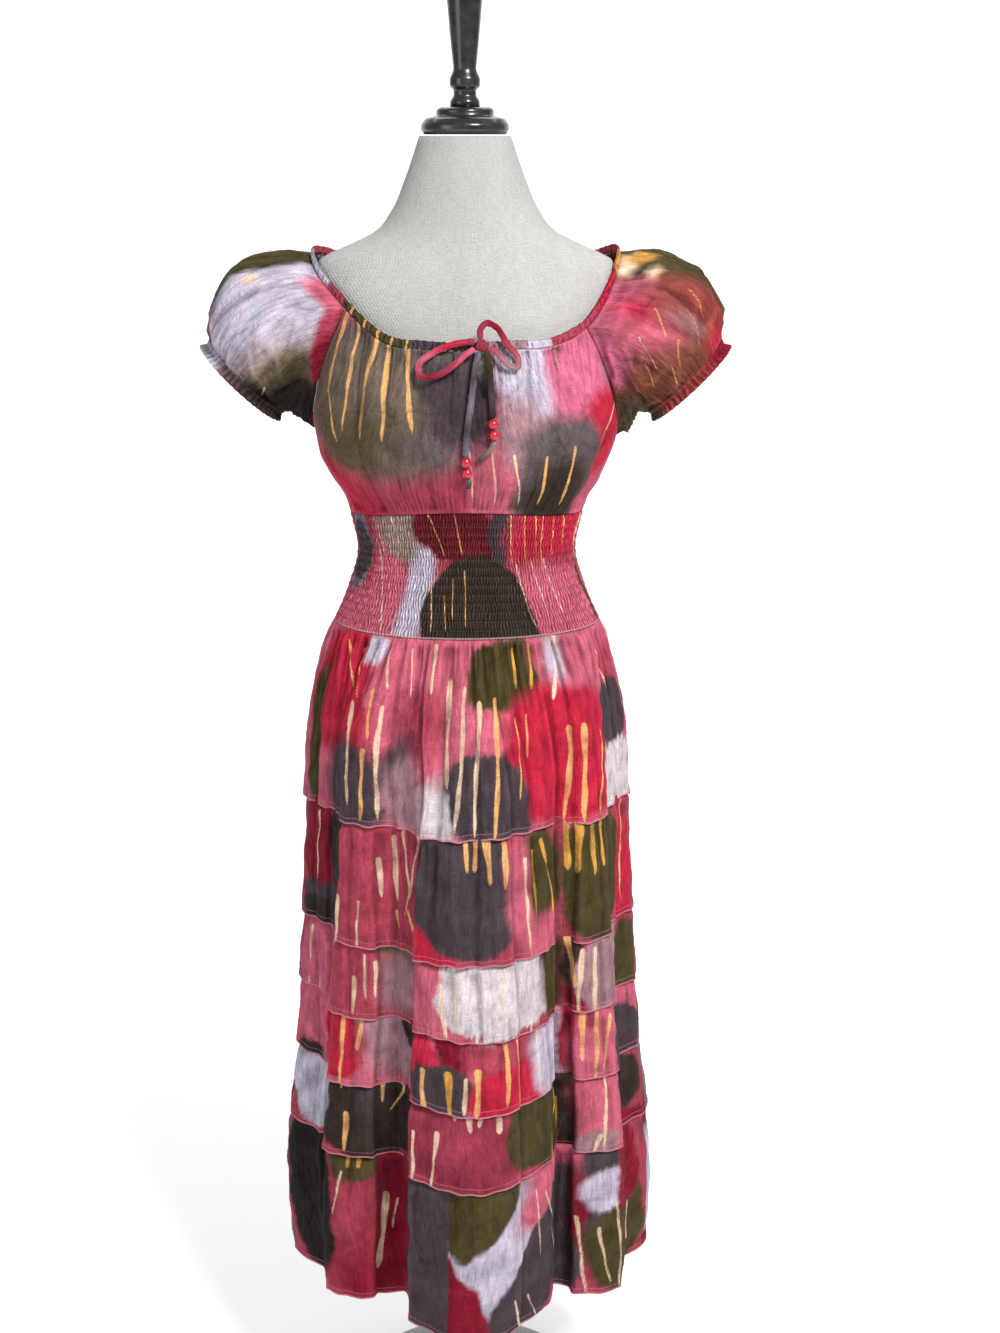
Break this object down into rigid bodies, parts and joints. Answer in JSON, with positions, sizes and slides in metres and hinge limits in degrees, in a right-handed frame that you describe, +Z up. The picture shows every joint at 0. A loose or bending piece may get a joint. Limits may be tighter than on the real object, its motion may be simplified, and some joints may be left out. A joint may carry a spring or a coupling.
{
  "type": "peasant dress on a dress form",
  "caption": "Ankle-length peasant dress with puff sleeves, smocked waist, gathered tiers and a beaded neck drawstring, on a limbless dress form with a round base.",
  "frame": {"origin": "on the floor, under the middle of the bounding box, which is the pole's axis", "axes": "+Z up along the pole; the dress faces -Y; +X is at the right of someone who looks at its front"},
  "size_m": [0.622, 0.4612, 1.822],
  "materials": {
    "neck_casing_front_left": "slate dyed cotton, matt plain weave",
    "neck_casing_front_right": "rose dyed cotton, matt plain weave",
    "neck_casing_back": "rose dyed cotton, matt plain weave",
    "bodice_front": "hand-dyed cotton in rose, olive and slate, matt plain weave",
    "bodice_back": "hand-dyed cotton in rose, olive and slate, matt plain weave",
    "sleeve_left": "hand-dyed cotton in lavender, olive and brown, matt plain weave",
    "sleeve_right": "hand-dyed cotton in rose, yellow and brown, matt plain weave",
    "cuff_left": "olive dyed cotton, matt plain weave",
    "cuff_right": "rose dyed cotton, matt plain weave",
    "smocked_waist_front": "shirred hand-dyed cotton, matt plain weave",
    "smocked_waist_back": "shirred hand-dyed cotton, matt plain weave",
    "skirt_tier_1_front": "hand-dyed cotton, rose and red, matt plain weave",
    "skirt_tier_1_back": "hand-dyed cotton, rose and red, matt plain weave",
    "skirt_tier_2_front": "hand-dyed cotton, slate, rose and olive, matt plain weave",
    "skirt_tier_2_back": "hand-dyed cotton, slate, rose and olive, matt plain weave",
    "skirt_tier_3_front": "hand-dyed cotton, lavender and rose, matt plain weave",
    "skirt_tier_3_back": "hand-dyed cotton, lavender and rose, matt plain weave",
    "skirt_tier_4_front": "hand-dyed cotton, crimson and lavender, matt plain weave",
    "skirt_tier_4_back": "hand-dyed cotton, crimson and lavender, matt plain weave",
    "skirt_tier_5_front": "hand-dyed cotton, crimson, slate and olive, matt plain weave",
    "skirt_tier_5_back": "hand-dyed cotton, crimson, slate and olive, matt plain weave",
    "skirt_tier_6_front": "hand-dyed cotton, lavender, olive, slate and crimson, matt plain weave",
    "skirt_tier_6_back": "hand-dyed cotton, lavender, olive, slate and crimson, matt plain weave",
    "form_torso": "off-white linen cover, matt",
    "form_neck_cap": "turned wood, black gloss lacquer",
    "form_finial": "turned wood, black gloss lacquer",
    "form_pole": "black gloss paint",
    "form_base": "black gloss paint",
    "tie_knot": "rolled cotton drawstring, rose",
    "tie_loop_left": "rolled cotton drawstring, rose",
    "tie_loop_right": "rolled cotton drawstring, rose",
    "tie_tail_left": "rolled cotton drawstring, slate",
    "tie_tail_right": "rolled cotton drawstring, slate",
    "tie_bead_left_1": "turned bead, red gloss lacquer",
    "tie_bead_left_2": "turned bead, red gloss lacquer",
    "tie_bead_right_1": "turned bead, red gloss lacquer",
    "tie_bead_right_2": "turned bead, red gloss lacquer",
    "tie_tip_left": "rolled cotton drawstring, slate",
    "tie_tip_right": "frayed cotton end, olive gold"
  },
  "bodies": {
    "root": {"neck_casing_front_left": "neck_casing_front_left", "neck_casing_front_right": "neck_casing_front_right", "neck_casing_back": "neck_casing_back", "bodice_front": "bodice_front", "bodice_back": "bodice_back", "sleeve_left": "sleeve_left", "sleeve_right": "sleeve_right", "cuff_left": "cuff_left", "cuff_right": "cuff_right", "smocked_waist_front": "smocked_waist_front", "smocked_waist_back": "smocked_waist_back", "skirt_tier_1_front": "skirt_tier_1_front", "skirt_tier_1_back": "skirt_tier_1_back", "skirt_tier_2_front": "skirt_tier_2_front", "skirt_tier_2_back": "skirt_tier_2_back", "skirt_tier_3_front": "skirt_tier_3_front", "skirt_tier_3_back": "skirt_tier_3_back", "skirt_tier_4_front": "skirt_tier_4_front", "skirt_tier_4_back": "skirt_tier_4_back", "skirt_tier_5_front": "skirt_tier_5_front", "skirt_tier_5_back": "skirt_tier_5_back", "skirt_tier_6_front": "skirt_tier_6_front", "skirt_tier_6_back": "skirt_tier_6_back", "form_torso": "form_torso", "form_neck_cap": "form_neck_cap", "form_finial": "form_finial", "form_pole": "form_pole", "form_base": "form_base", "tie_knot": "tie_knot", "tie_loop_left": "tie_loop_left", "tie_loop_right": "tie_loop_right", "tie_tail_left": "tie_tail_left", "tie_tail_right": "tie_tail_right", "tie_bead_left_1": "tie_bead_left_1", "tie_bead_left_2": "tie_bead_left_2", "tie_bead_right_1": "tie_bead_right_1", "tie_bead_right_2": "tie_bead_right_2", "tie_tip_left": "tie_tip_left", "tie_tip_right": "tie_tip_right"}
  },
  "joints": []
}
